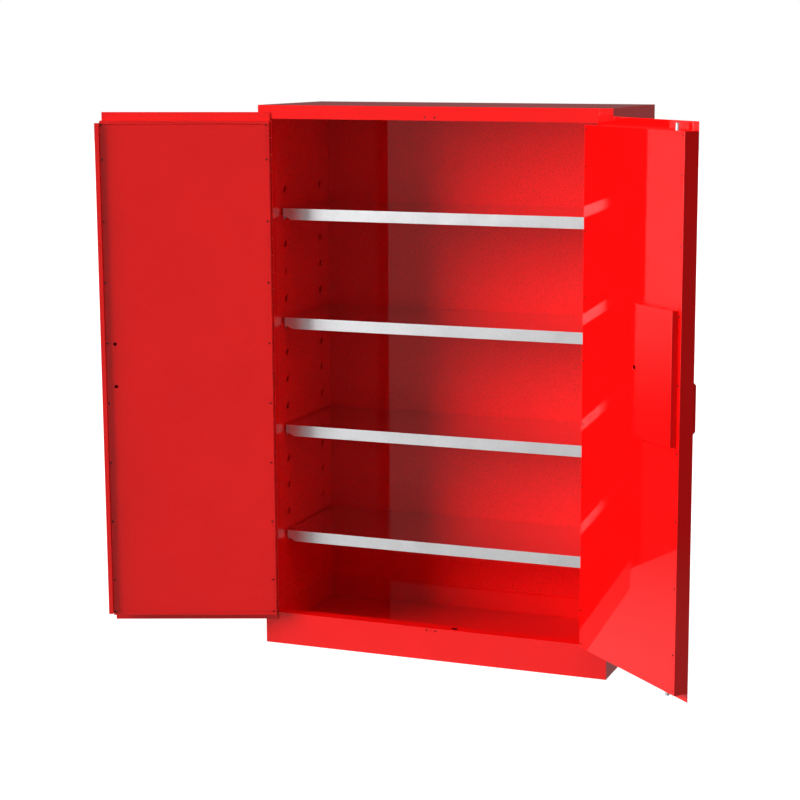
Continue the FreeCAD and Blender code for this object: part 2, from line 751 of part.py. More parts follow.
def door_rivets(side):
    """Pop rivets with flat round heads, all in one node."""
    rivets = []
    shank_length = T * 2 + RIVET_TAIL + RIVET_HEAD_HEIGHT / 4
    for i, (u, z) in enumerate(rivet_places(side)):
        tag = "%s_rivet_%d" % (side_name(side), i)
        x = signed(side, u)
        shank_start = (x, LINER_Y[0] - T - RIVET_TAIL, z)
        shank = rod(tag + "_shank", "y", shank_start, RIVET_SHANK_RADIUS, shank_length)
        head = rod(tag + "_head", "y", (x, LINER_Y[1], z), RIVET_HEAD_RADIUS, RIVET_HEAD_HEIGHT)
        rivets.append(fuse(tag, [shank, head]))
    label = side_name(side) + "_door_rivets"
    node(on_door(group(label, rivets), side), label)


STRIP_FRONT = 8
STRIP_PROUD = 11.2
STRIP_WIDTH = 13
STRIP_END = 6


def meeting_strip():
    """Steel angle on the left door's free edge; the right door closes in front of it."""
    free = S["left_free"]
    back = S["door_back"] + STRIP_PROUD
    profile = [
        (free, STRIP_FRONT),
        (free + T, STRIP_FRONT),
        (free + T, back - T),
        (free + STRIP_WIDTH, back - T),
        (free + STRIP_WIDTH, back),
        (free, back),
    ]
    length = S["box_top"] - S["box_bottom"] - STRIP_END * 2
    strip = plate("meeting_strip", "XY_Plane", profile, length, S["box_bottom"] + STRIP_END)
    node(on_door(strip, LEFT), "meeting_strip")


FIT = 0.05
PULL_SCREW_RADIUS = 2.5
PULL_HEAD_RADIUS = 4.6
PULL_HEAD_HEIGHT = 3.2
PULL_THREAD = 12
PULL_LEG = 4
PULL_SLOPE = 6
PULL_INNER_SLOPE = 3
PULL_ROUND = 2.2


def pull_handle(side):
    """A bow handle cut from thick bar, with slanted outer corners."""
    label = side_name(side) + "_pull_handle"
    low, high = pull_screw_places()
    foot = S["skin_front"]
    face = foot - S["pull_reach"]
    inside = face + S["pull_bar"]
    profile = [
        (foot, low - PULL_LEG),
        (face + PULL_SLOPE, low - PULL_LEG),
        (face, low - PULL_LEG + PULL_SLOPE),
        (face, high + PULL_LEG - PULL_SLOPE),
        (face + PULL_SLOPE, high + PULL_LEG),
        (foot, high + PULL_LEG),
        (foot, high - PULL_LEG),
        (inside + PULL_INNER_SLOPE, high - PULL_LEG),
        (inside, high - (PULL_LEG + PULL_INNER_SLOPE)),
        (inside, low + (PULL_LEG + PULL_INNER_SLOPE)),
        (inside + PULL_INNER_SLOPE, low + PULL_LEG),
        (foot, low + PULL_LEG),
    ]
    middle = signed(side, S["pull_distance"])
    bow = plate(label + "_bow", "YZ_Plane", profile, S["pull_width"], middle, midplane=True)
    places = [(S["pull_distance"], z) for z in (low, high)]
    bore_y = foot - PULL_THREAD - PULL_INNER_SLOPE
    holes = drill(label + "_bore", side, places, PULL_SCREW_RADIUS + FIT, bore_y, PULL_THREAD * 2)
    smooth = rounded(label + "_round", bow, face + (PULL_SLOPE + FIT), PULL_ROUND)
    node(on_door(cut(label, smooth, holes), side), label)


def rounded(name, base, limit, radius):
    """Rounds a bow's long edges as far back as a limit in y."""
    doc.recompute()
    fillet = doc.addObject("Part::Fillet", name)
    fillet.Base = base
    edges = []
    for index, edge in enumerate(base.Shape.Edges, start=1):
        ends = [vertex.Point for vertex in edge.Vertexes]
        along_bar = abs(ends[0].x - ends[1].x) < FIT
        outside = all(point.y < number_of(limit) for point in ends)
        if along_bar and outside:
            edges.append((index, radius, radius))
    fillet.Edges = edges
    return fillet


def pull_screws(side):
    """The two pan-head screws behind a pull handle."""
    label = side_name(side) + "_handle_screws"
    screws = []
    for i, z in enumerate(pull_screw_places()):
        tag = "%s_%d" % (label, i)
        x = signed(side, S["pull_distance"])
        head = rod(tag + "_head", "y", (x, SKIN_Y[1], z), PULL_HEAD_RADIUS, PULL_HEAD_HEIGHT)
        shank_start = (x, S["skin_front"] - PULL_THREAD, z)
        shank = rod(tag + "_shank", "y", shank_start, PULL_SCREW_RADIUS, T * 2 + PULL_THREAD)
        recess = cross_recess(tag, x, SKIN_Y[1] + PULL_HEAD_HEIGHT / 2, z)
        screws.append(cut(tag, fuse(tag + "_solid", [head, shank]), recess))
    node(on_door(group(label, screws), side), label)


def cross_recess(name, x, y, z, reach=2.4, deep=3, wide=0.9):
    """The two crossing slots of a cross-head screw whose head faces +Y."""
    x = Dim(text_of(x), number_of(x))
    z = Dim(text_of(z), number_of(z))
    half = wide / 2
    bars = [
        block(name + "_bar_across", (x - reach, x + reach), (y, y + deep), (z - half, z + half)),
        block(name + "_bar_up", (x - half, x + half), (y, y + deep), (z - reach, z + reach)),
    ]
    return [fuse(name + "_recess", bars)]


def doors():
    for side in (LEFT, RIGHT):
        door_skin(side)
        door_liner(side)
        door_rivets(side)
        pull_handle(side)
        pull_screws(side)
    meeting_strip()


# ---------------------------------------------------------------- lock, all on the right door

COVER_FLANGE = 18
COVER_SCREW_U = (S["cover_start"] + 38, S["cover_end"] - 20.5)
COVER_SCREW_Z = (S["cover_bottom"] - 12, S["cover_top"] + 8)
COVER_SHANK_RADIUS = 1.6
COVER_HEAD_RADIUS = 3.2
COVER_HEAD_HEIGHT = 1.6
COVER_SCREW_TIP = 6
PEEP_RADIUS = 6
PEEP_U = 15
PEEP_Z = 7
CAM_Y = 33.5
CAM_THICK = 3
CAM_RIM = 6
YOKE_Y = (27, 31)
PIN_RADIUS = 3


def cover_screw_places():
    return [(u, z) for u in COVER_SCREW_U for z in COVER_SCREW_Z]


def lock_cover():
    """Shallow steel box over the latch, with a screw flange above and below."""
    back = S["door_back"]
    face = back + S["cover_depth"]
    u_range = (S["cover_start"], S["cover_end"])
    z_range = (S["cover_bottom"], S["cover_top"])
    hollow_u = (u_range[0] + T, u_range[1] - T)
    hollow_z = (z_range[0] + T, z_range[1] - T)
    flange_z = (z_range[0] - COVER_FLANGE, z_range[1] + COVER_FLANGE)
    box = door_block("cover_box", RIGHT, u_range, (back, face), z_range)
    flange = door_block("cover_flange", RIGHT, u_range, (back, back + T), flange_z)
    holes = [door_block("cover_hollow", RIGHT, hollow_u, (back - PAST, face - T), hollow_z)]
    screw_radius = COVER_SHANK_RADIUS + FIT
    holes += drill("cover_screw_hole", RIGHT, cover_screw_places(), screw_radius, back - TOOL / 2)
    peep = [(S["cover_start"] + PEEP_U, S["latch_middle"] + PEEP_Z)]
    holes += drill("cover_peep_hole", RIGHT, peep, PEEP_RADIUS, face - TOOL / 2)
    node(on_door(cut("lock_cover", fuse("cover_blank", [box, flange]), holes), RIGHT), "lock_cover")


def lock_cover_screws():
    screws = []
    for i, (u, z) in enumerate(cover_screw_places()):
        tag = "cover_screw_%d" % i
        x = signed(RIGHT, u)
        seat = S["door_back"] + T
        head = rod(tag + "_head", "y", (x, seat, z), COVER_HEAD_RADIUS, COVER_HEAD_HEIGHT)
        shank_start = (x, S["door_back"] - COVER_SCREW_TIP, z)
        shank = rod(tag + "_shank", "y", shank_start, COVER_SHANK_RADIUS, T + COVER_SCREW_TIP)
        recess = cross_recess(tag, x, seat + COVER_HEAD_HEIGHT / 2, z, reach=1.8, deep=2, wide=0.7)
        screws.append(cut(tag, fuse(tag + "_solid", [head, shank]), recess))
    node(on_door(group("lock_cover_screws", screws), RIGHT), "lock_cover_screws")


def latch_spindle_start(y):
    return (signed(RIGHT, S["latch_distance"]), y, S["latch_middle"])


CASE_HALF = 32
CASE_DEPTH = 18
CASE_STEEL = 2
CASE_FEET = 46


def latch_case():
    """Hollow bearing box on the inside of the outer sheet."""
    u = S["latch_distance"]
    z = S["latch_middle"]
    y0 = SKIN_Y[1]
    inside = CASE_HALF - CASE_STEEL
    hollow_y = (y0 + CASE_STEEL, y0 + (CASE_DEPTH - CASE_STEEL))
    case_z = around(z, CASE_HALF)
    case = door_block("case_box", RIGHT, around(u, CASE_HALF), (y0, y0 + CASE_DEPTH), case_z)
    flange = door_block("case_flange", RIGHT, around(u, CASE_FEET), (y0, y0 + CASE_STEEL), case_z)
    hollow = door_block("case_hollow", RIGHT, around(u, inside), hollow_y, around(z, inside))
    bore = rod("case_bore", "y", latch_spindle_start(0), S["spindle_radius"] + FIT, CASE_DEPTH * 2)
    node(on_door(cut("latch_case", fuse("case_blank", [case, flange]), [hollow, bore]), RIGHT), "latch_case")


ESCUTCHEON_RADIUS = 24
ESCUTCHEON_HALF = 22
ESCUTCHEON_THICK = 3
ESCUTCHEON_GAP = 0.6


def handle_escutcheon():
    """Oval plate on the outside, round the turning handle."""
    u = S["latch_distance"]
    z = S["latch_middle"]
    y = S["skin_front"] - ESCUTCHEON_THICK
    pieces = [
        door_block(
            "escutcheon_middle",
            RIGHT,
            around(u, ESCUTCHEON_RADIUS),
            (y, S["skin_front"]),
            around(z, ESCUTCHEON_HALF),
        )
    ]
    for i, end_z in enumerate(around(z, ESCUTCHEON_HALF)):
        start = (signed(RIGHT, u), y, end_z)
        pieces.append(rod("escutcheon_end_%d" % i, "y", start, ESCUTCHEON_RADIUS, ESCUTCHEON_THICK))
    bore_radius = S["spindle_radius"] + ESCUTCHEON_GAP
    bore = rod("escutcheon_bore", "y", latch_spindle_start(-TOOL / 2), bore_radius, TOOL)
    blank = fuse("escutcheon_blank", pieces)
    node(on_door(cut("handle_escutcheon", blank, [bore]), RIGHT), "handle_escutcheon")


HANDLE_BACK = -2.9
SPINDLE_LENGTH = 51
HUB_RADIUS = 14
HUB_FACE = -38
GRIP_HALF = 50
GRIP_HALF_WIDTH = 8
GRIP_Y = (-40, -24)
GRIP_ROUND = 5
KEY_RADIUS = 8
KEY_FACE = -41
KEY_LENGTH = 18.9
KEY_BORE_END = -22
KEYWAY_DEPTH = 10


def turn_handle():
    """Cross-bar handle on a round spindle that carries the cam."""
    grip_u = around(S["latch_distance"], GRIP_HALF_WIDTH)
    grip = door_block("grip_bar", RIGHT, grip_u, GRIP_Y, around(S["latch_middle"], GRIP_HALF))
    round_grip = rounded_all("grip_round", grip, GRIP_ROUND)
    hub = rod("grip_hub", "y", latch_spindle_start(HUB_FACE), HUB_RADIUS, HANDLE_BACK - HUB_FACE)
    spindle_start = latch_spindle_start(HANDLE_BACK - PAST)
    spindle = rod("grip_spindle", "y", spindle_start, S["spindle_radius"], SPINDLE_LENGTH)
    bore_start = KEY_FACE - TOOL / 2
    bore_length = KEY_BORE_END - bore_start
    key_bore = rod("grip_key_bore", "y", latch_spindle_start(bore_start), KEY_RADIUS + FIT, bore_length)
    blank = fuse("grip_blank", [round_grip, hub, spindle])
    node(on_door(cut("turn_handle", blank, [key_bore]), RIGHT), "turn_handle")


def rounded_all(name, base, radius):
    """Rounds every edge of a plain bar."""
    doc.recompute()
    fillet = doc.addObject("Part::Fillet", name)
    fillet.Base = base
    fillet.Edges = [(index, radius, radius) for index in range(1, len(base.Shape.Edges) + 1)]
    return fillet


def key_cylinder():
    """Lock plug in the middle of the handle, with its keyway."""
    plug = rod("key_plug", "y", latch_spindle_start(KEY_FACE), KEY_RADIUS, KEY_LENGTH)
    keyway_x = around(signed(RIGHT, S["latch_distance"]), 1)
    keyway_y = (KEY_FACE - PAST, KEY_FACE + KEYWAY_DEPTH)
    keyway = block("key_way", keyway_x, keyway_y, around(S["latch_middle"], 4.5))
    node(on_door(cut("key_cylinder", plug, [keyway]), RIGHT), "key_cylinder")


def cam_pin_offsets():
    """Where the two cam pins stand from the spindle, as (u, z)."""
    reach = S["cam_radius"] * cos(radians(S["cam_angle"].number))
    rise = S["cam_radius"] * sin(radians(S["cam_angle"].number))
    return [(reach, rise), (-reach, -rise)]


def latch_cam():
    """Round cam on the spindle, with one pin for each bolt rod."""
    disc = rod("cam_disc", "y", latch_spindle_start(CAM_Y), S["cam_radius"] + CAM_RIM, CAM_THICK)
    pieces = [disc]
    pin_start = YOKE_Y[0] - 1
    for i, (du, dz) in enumerate(cam_pin_offsets()):
        start = (signed(RIGHT, S["latch_distance"] + du), pin_start, S["latch_middle"] + dz)
        pieces.append(rod("cam_pin_%d" % i, "y", start, PIN_RADIUS, CAM_Y + CAM_THICK / 2 - pin_start))
    bore = rod("cam_bore", "y", latch_spindle_start(CAM_Y - PAST), S["spindle_radius"], CAM_THICK + PAST * 2)
    node(on_door(cut("latch_cam", fuse("cam_blank", pieces), [bore]), RIGHT), "latch_cam")


def cam_nut():
    """Hexagon nut that holds the cam on the spindle."""
    corner_radius = 10.0
    height = 7
    points = []
    for k in range(6):
        turn = radians(60 * k)
        u = signed(RIGHT, S["latch_distance"]) + corner_radius * cos(turn)
        z = S["latch_middle"] + corner_radius * sin(turn)
        points.append((u, z))
    nut = plate("cam_nut_blank", "XZ_Plane", points, height, -(CAM_Y + CAM_THICK), reverse=True)
    bore = rod("cam_nut_bore", "y", latch_spindle_start(CAM_Y), S["spindle_radius"], height * 2)
    node(on_door(cut("cam_nut", nut, [bore]), RIGHT), "cam_nut")


YOKE_HALF_WIDTH = 8
YOKE_END = 9
YOKE_LENGTH = 86
YOKE_ARM = 20
YOKE_SLOT_HALF = 3.5
YOKE_SLOT_GAP = 0.5
TIP_CHAMFER = 1.5
GUIDE_ROWS = (180, 640, 1200, 1540)
GUIDE_HALF = 10
GUIDE_HALF_WIDTH = 12
GUIDE_FEET = 26
GUIDE_BACK = 33
GUIDE_STEEL = 2
GUIDE_GAP = 0.08


def bolt_tip(name, x, end, up):
    """The chamfered end of a bolt rod; up is 1 or -1."""
    small = S["rod_radius"] - TIP_CHAMFER
    cone = doc.addObject("Part::Cone", name)
    bind(cone, "Radius1", S["rod_radius"] if up > 0 else small)
    bind(cone, "Radius2", small if up > 0 else S["rod_radius"])
    bind(cone, "Height", TIP_CHAMFER)
    bind(cone, "Placement.Base.x", x)
    bind(cone, "Placement.Base.y", S["rod_inset"])
    bind(cone, "Placement.Base.z", end - TIP_CHAMFER if up > 0 else end)
    return cone


def bolt_rod(label, up):
    """A round rod whose cranked inner end is driven by a cam pin; up is 1 or -1."""
    pin_du, pin_dz = cam_pin_offsets()[0 if up > 0 else 1]
    edge = S["box_top"] if up > 0 else S["box_bottom"]
    end = edge + S["bolt_reach"] * up
    pin_z = S["latch_middle"] + pin_dz
    arm_far = pin_z + YOKE_LENGTH * up
    arm_near = arm_far - YOKE_ARM * up
    rod_z = ordered(arm_near, end - TIP_CHAMFER * up)
    x = signed(RIGHT, S["rod_distance"])
    round_bar = rod(label + "_bar", "z", (x, S["rod_inset"], rod_z[0]), S["rod_radius"], rod_z[1] - rod_z[0])
    slot_u = S["latch_distance"] + (pin_du + S["cam_radius"] * up) / 2
    strip_u = around(slot_u, YOKE_HALF_WIDTH)
    strip = door_block(label + "_strip", RIGHT, strip_u, YOKE_Y, ordered(pin_z - YOKE_END * up, arm_far))
    arm_u = (strip_u[0], S["rod_distance"] + S["rod_radius"])
    arm = door_block(label + "_arm", RIGHT, arm_u, YOKE_Y, ordered(arm_near, arm_far))
    pin_sweep = S["cam_radius"] * ((1 - cos(radians(S["cam_angle"].number))) / 2)
    slot_half = pin_sweep + (PIN_RADIUS + YOKE_SLOT_GAP)
    slot_y = (YOKE_Y[0] - PAST, YOKE_Y[1] + PAST)
    slot_z = around(pin_z, YOKE_SLOT_HALF)
    slot = door_block(label + "_slot", RIGHT, around(slot_u, slot_half), slot_y, slot_z)
    pieces = [round_bar, bolt_tip(label + "_tip", x, end, up), strip, arm]
    node(on_door(cut(label, fuse(label + "_blank", pieces), [slot]), RIGHT), label)


def rod_guides():
    """Four blocks on the inside of the outer sheet that the rods slide through."""
    guides = []
    u = S["rod_distance"]
    front = SKIN_Y[1]
    for i, z in enumerate(GUIDE_ROWS):
        tag = "rod_guide_%d" % i
        guide_z = (z - GUIDE_HALF, z + GUIDE_HALF)
        body = door_block(tag + "_block", RIGHT, around(u, GUIDE_HALF_WIDTH), (front, GUIDE_BACK), guide_z)
        feet = door_block(tag + "_feet", RIGHT, around(u, GUIDE_FEET), (front, front + GUIDE_STEEL), guide_z)
        start = (signed(RIGHT, u), S["rod_inset"], z - GUIDE_HALF - PAST)
        bore = rod(tag + "_bore", "z", start, S["rod_radius"] + GUIDE_GAP, GUIDE_HALF * 2 + PAST * 2)
        guides.append(cut(tag, fuse(tag + "_blank", [body, feet]), [bore]))
    node(on_door(group("rod_guides", guides), RIGHT), "rod_guides")


def lock():
    lock_cover()
    lock_cover_screws()
    latch_case()
    handle_escutcheon()
    turn_handle()
    key_cylinder()
    latch_cam()
    cam_nut()
    bolt_rod("top_bolt_rod", 1)
    bolt_rod("bottom_bolt_rod", -1)
    rod_guides()


# ---------------------------------------------------------------- make, check and write

for side in (LEFT, RIGHT):
    outer_side(side)
    inner_side(side)
outer_sheets()
rails()
inner_sheets()
sump_pan()
strikes()
shelves()
hinges()
doors()
lock()
doc.recompute()

for item in doc.Objects:
    if "Invalid" in item.State or "Error" in item.State:
        raise RuntimeError("%s failed: %s" % (item.Label, item.State))

os.makedirs("parts", exist_ok=True)
for piece in nodes:
    shape = piece.Shape
    if shape.isNull() or not shape.isValid() or not shape.Solids:
        raise RuntimeError("%s has no valid solid" % piece.Label)
    shape.exportStep("parts/%s.step" % piece.Label)
    print(piece.Label, len(shape.Solids), round(shape.Volume / 1000.0, 2))
print(len(nodes), "nodes")
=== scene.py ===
import json
from math import pi, radians

import bpy
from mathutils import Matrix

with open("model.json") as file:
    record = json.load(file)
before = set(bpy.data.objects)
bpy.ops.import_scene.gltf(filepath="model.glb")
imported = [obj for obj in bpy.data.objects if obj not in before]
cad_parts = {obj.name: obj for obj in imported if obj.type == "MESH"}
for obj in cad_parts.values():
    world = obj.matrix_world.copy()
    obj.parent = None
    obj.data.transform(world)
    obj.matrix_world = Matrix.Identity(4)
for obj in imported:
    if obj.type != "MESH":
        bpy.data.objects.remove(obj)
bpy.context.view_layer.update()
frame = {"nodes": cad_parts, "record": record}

nodes = frame["nodes"]
scene = bpy.context.scene


# ---------------------------------------------------------------- material kit

class Graph:
    """A material's node tree, with short helpers for the nodes that the finishes share."""

    def __init__(self, name):
        self.material = bpy.data.materials.new(name)
        self.material.use_nodes = True
        self.tree = self.material.node_tree
        self.tree.nodes.clear()
        self.shader = self.add("ShaderNodeBsdfPrincipled")
        output = self.add("ShaderNodeOutputMaterial")
        self.link(self.shader.outputs["BSDF"], output.inputs["Surface"])
        self.place = self.add("ShaderNodeTexCoord").outputs["Object"]

    def add(self, kind):
        return self.tree.nodes.new(kind)

    def link(self, start, end):
        self.tree.links.new(start, end)

    def set(self, **values):
        for name, value in values.items():
            self.shader.inputs[name.replace("_", " ")].default_value = value

    def stretched(self, scale):
        """The object's coordinates, multiplied along each axis."""
        mapping = self.add("ShaderNodeMapping")
        mapping.inputs["Scale"].default_value = scale
        self.link(self.place, mapping.inputs["Vector"])
        return mapping.outputs["Vector"]

    def noise(self, scale, detail=2.0, roughness=0.5, vector=None):
        texture = self.add("ShaderNodeTexNoise")
        texture.inputs["Scale"].default_value = scale
        texture.inputs["Detail"].default_value = detail
        texture.inputs["Roughness"].default_value = roughness
        self.link(vector or self.place, texture.inputs["Vector"])
        return texture.outputs["Fac"]

    def cells(self, scale):
        texture = self.add("ShaderNodeTexVoronoi")
        texture.inputs["Scale"].default_value = scale
        self.link(self.place, texture.inputs["Vector"])
        return texture

    def spread(self, value, low, high, start=0.3, end=0.7):
        """Maps a texture value to a range."""
        remap = self.add("ShaderNodeMapRange")
        remap.inputs["From Min"].default_value = start
        remap.inputs["From Max"].default_value = end
        remap.inputs["To Min"].default_value = low
        remap.inputs["To Max"].default_value = high
        self.link(value, remap.inputs["Value"])
        return remap.outputs["Result"]

    def blend(self, value, first, second):
        """A colour between two, by a value from 0 to 1."""
        mix = self.add("ShaderNodeMix")
        mix.data_type = "RGBA"
        self.link(value, mix.inputs["Factor"])
        for socket, colour in ((mix.inputs["A"], first), (mix.inputs["B"], second)):
            if isinstance(colour, bpy.types.NodeSocket):
                self.link(colour, socket)
            else:
                socket.default_value = (*colour, 1.0)
        return mix.outputs["Result"]

    def mix(self, share, first, second):
        """A number between two, by a value from 0 to 1."""
        node = self.add("ShaderNodeMix")
        for key, value in (("Factor", share), ("A", first), ("B", second)):
            self.link(value, node.inputs[key])
        return node.outputs["Result"]

    def bump(self, heights):
        """Bumps stacked on each other, each given as (height, strength, depth in metres)."""
        normal = None
        for height, strength, depth in heights:
            node = self.add("ShaderNodeBump")
            node.inputs["Strength"].default_value = strength
            node.inputs["Distance"].default_value = depth
            self.link(height, node.inputs["Height"])
            if normal is not None:
                self.link(normal, node.inputs["Normal"])
            normal = node.outputs["Normal"]
        self.link(normal, self.shader.inputs["Normal"])

    def colour(self, socket):
        self.link(socket, self.shader.inputs["Base Color"])

    def roughness(self, socket):
        self.link(socket, self.shader.inputs["Roughness"])


def powder_coat(name, bright, deep, grain=0.10):
    """Glossy powder coat: faint cloudiness, dust-fine specks, orange peel and a sharp top layer."""
    g = Graph(name)
    cloud = g.spread(g.noise(5.0, 3.0), 0.0, 1.0)
    fine = g.noise(260.0, 2.0, 0.7)
    painted = g.blend(cloud, bright, deep)
    speck = tuple(channel * 0.60 for channel in deep)
    g.colour(g.blend(g.spread(fine, 0.0, grain, 0.52, 0.66), painted, speck))
    g.roughness(g.spread(g.noise(60.0, 3.0), 0.012, 0.030))
    g.bump([(g.noise(420.0, 1.0), 0.20, 0.00002), (fine, grain * 0.2, 0.00002)])
    g.set(IOR=1.5)
    return g.material


def galvanised(name):
    """Zinc-coated sheet: soft spangle and fine grain; upward faces get a painted brighter reflection and a
    lower roughness.
    """
    g = Graph(name)
    spangle = g.cells(140.0)
    grain = g.noise(520.0, 3.0, 0.7)
    leaf = g.spread(spangle.outputs["Color"], 0.0, 1.0, 0.0, 1.0)
    tone = g.blend(leaf, (0.70, 0.70, 0.71), (0.75, 0.75, 0.76))
    zinc = g.blend(g.spread(grain, 0.0, 0.45, 0.40, 0.70), tone, (0.50, 0.50, 0.51))
    # Upward faces (the shelf decks) get a painted reflection: a brighter zinc colour that the grain varies
    # at random.
    facing = g.add("ShaderNodeSeparateXYZ")
    g.link(g.add("ShaderNodeNewGeometry").outputs["Normal"], facing.inputs[0])
    deck = g.spread(facing.outputs["Z"], 0.0, 1.0, 0.85, 0.95)
    painted_deck_sheen = g.blend(g.spread(grain, 0.0, 0.6, 0.35, 0.75), (0.88, 0.88, 0.88), (0.70, 0.70, 0.71))
    g.colour(g.blend(deck, zinc, painted_deck_sheen))
    dull = g.spread(g.noise(22.0, 4.0, 0.6), 0.34, 0.40)
    bright = g.spread(g.noise(22.0, 4.0, 0.6), 0.10, 0.16)
    g.roughness(g.mix(deck, dull, bright))
    g.bump([(grain, 0.15, 0.00002), (spangle.outputs["Distance"], 0.05, 0.00005)])
    g.set(Metallic=1.0)
    return g.material


def plated_steel(name, bright, shaded):
    """Plated steel with fine drawn lines round the bar."""
    g = Graph(name)
    patch = g.noise(25.0, 3.0)
    g.colour(g.blend(g.spread(patch, 0.0, 1.0), bright, shaded))
    lines = g.noise(90.0, 3.0, 0.6, g.stretched((1.0, 1.0, 20.0)))
    g.roughness(g.spread(lines, 0.28, 0.42))
    g.bump([(lines, 0.15, 0.00002)])
    g.set(Metallic=1.0)
    return g.material


def dark_steel(name):
    """Blackened steel of the small fasteners, a little rubbed."""
    g = Graph(name)
    rub = g.noise(350.0, 3.0)
    g.colour(g.blend(g.spread(rub, 0.0, 1.0, 0.55, 0.8), (0.020, 0.012, 0.012), (0.12, 0.07, 0.07)))
    g.roughness(g.spread(rub, 0.35, 0.5))
    g.bump([(g.noise(1200.0), 0.2, 0.00002)])
    g.set(Metallic=1.0)
    return g.material


SIGNAL_RED = (0.93, 0.0034, 0.0034)
DEEP_RED = (0.87, 0.0030, 0.0030)
INNER_SHEETS = ("inner_back", "inner_side_left", "inner_side_right", "inner_ceiling")
# The inner red is lighter than the outer red, partly to keep its average under the heavy specks and partly
# as painted light that lifts the shaded interior.
INNER_RED_PAINTED_LIGHTER = (0.990, 0.0105, 0.0105)
INNER_DEEP_PAINTED_LIGHTER = (0.960, 0.0095, 0.0095)
INNER_FINISH = powder_coat("inner_powder_coat", INNER_RED_PAINTED_LIGHTER, INNER_DEEP_PAINTED_LIGHTER, grain=0.9)
HANDLE_NODES = ("turn_handle", "handle_escutcheon", "key_cylinder")
NICKEL_BRIGHT = (0.36, 0.35, 0.34)
NICKEL_SHADED = (0.28, 0.27, 0.26)
HANDLE_FINISH = plated_steel("satin_nickel", NICKEL_BRIGHT, NICKEL_SHADED)
ZINC_BRIGHT = (0.88, 0.89, 0.90)
ZINC_SHADED = (0.74, 0.75, 0.77)
NODE_FINISHES = {name: INNER_FINISH for name in INNER_SHEETS}
NODE_FINISHES.update({name: HANDLE_FINISH for name in HANDLE_NODES})
FINISHES = {
    "red_paint": powder_coat("red_powder_coat", SIGNAL_RED, DEEP_RED),
    "galvanised": galvanised("galvanised_steel"),
    "plated_steel": plated_steel("zinc_plated_steel", ZINC_BRIGHT, ZINC_SHADED),
    "dark_steel": dark_steel("blackened_steel"),
}


def finish_cad_nodes():
    """Gives each CAD node its own finish if it has one, and otherwise its material slot's."""
    slots = {part["node"]: part["material_slot"] for part in frame["record"]["subparts"]}
    for name, obj in nodes.items():
        obj.data.materials.clear()
        obj.data.materials.append(NODE_FINISHES.get(name, FINISHES[slots[name]]))


WELD_DISTANCE = 0.00001
FOLD_RADIUS = 0.0004
FOLD_SEGMENTS = 2
EDGE_ANGLE = radians(35)


def soften(obj):
    """Rounds a CAD node's edges with modifiers, so its own mesh stays as it is."""
    weld = obj.modifiers.new("weld", "WELD")
    weld.merge_threshold = WELD_DISTANCE
    bevel = obj.modifiers.new("fold_radius", "BEVEL")
    bevel.width = FOLD_RADIUS
    bevel.segments = FOLD_SEGMENTS
    bevel.limit_method = "ANGLE"
    bevel.angle_limit = EDGE_ANGLE
    bevel.use_clamp_overlap = True
    bevel.face_strength_mode = "FSTR_ALL"
    flat = obj.modifiers.new("flat_faces", "WEIGHTED_NORMAL")
    flat.use_face_influence = True
    flat.keep_sharp = True


# ---------------------------------------------------------------- stage
# A direction's azimuth is in degrees to the left of the front. Its height is the sine of its
# elevation, and FRONT_TO_BACK is a span of its Y component.

# The floor is seen bright by the camera, and sends back little light.
FLOOR_HALF = 30.0
FLOOR_SEEN = (0.35, 0.35, 0.35)
FLOOR_BOUNCE = (0.10, 0.10, 0.10)
FLOOR_GLOW = 0.88

# What glossy surfaces mirror: the strength of the room, by direction.
ROOM_FRONT = 0.38
ROOM_BACK_LOW = 0.24
ROOM_BACK_HIGH = 0.080
BACK_HORIZON = (-0.15, 0.06)
ROOM_RIGHT = 0.18
RIGHT_SHADE = (-110, -75, -35)
GROUND_LEFT = 0.60
GROUND_RIGHT = 0.25
GROUND_TURN = (-5, 25)
GROUND_HORIZON = (-0.31, -0.20)
KEY_WINDOW = (34.0, 64.0, -0.15, 0.80, 3.0)
KEY_MIRRORED = 4.8

# What lights the matt part of every surface.
FRONT_TO_BACK = (-0.9, 0.6)
AMBIENT_FRONT = 0.17
AMBIENT_BACK = 0.16
CEILING = 1.9
CEILING_RISE = (0.55, 0.95)
LAMP_WINDOW = (34.0, 64.0, -0.15, 0.52, 3.0)
LAMP_LIGHT = 13.5

# How softly a soft box ends at its lower and upper edge.
BOX_SOFT_LOW = 0.04
BOX_SOFT_HIGH = 0.1


def floor():
    """White for the camera with a faint shadow, and dull for the light that it sends back."""
    mesh = bpy.data.meshes.new("floor")
    half = FLOOR_HALF
    corners = [(-half, -half, 0), (half, -half, 0), (half, half, 0), (-half, half, 0)]
    mesh.from_pydata(corners, [], [(0, 1, 2, 3)])
    obj = bpy.data.objects.new("floor", mesh)
    scene.collection.objects.link(obj)
    g = Graph("pale_floor")
    path = g.add("ShaderNodeLightPath").outputs["Is Camera Ray"]
    g.colour(g.blend(path, FLOOR_BOUNCE, FLOOR_SEEN))
    g.set(Roughness=0.9, Emission_Color=(1.0, 1.0, 1.0, 1.0))
    g.link(g.spread(path, 0.0, FLOOR_GLOW, 0.0, 1.0), g.shader.inputs["Emission Strength"])
    mesh.materials.append(g.material)
    obj.visible_glossy = False


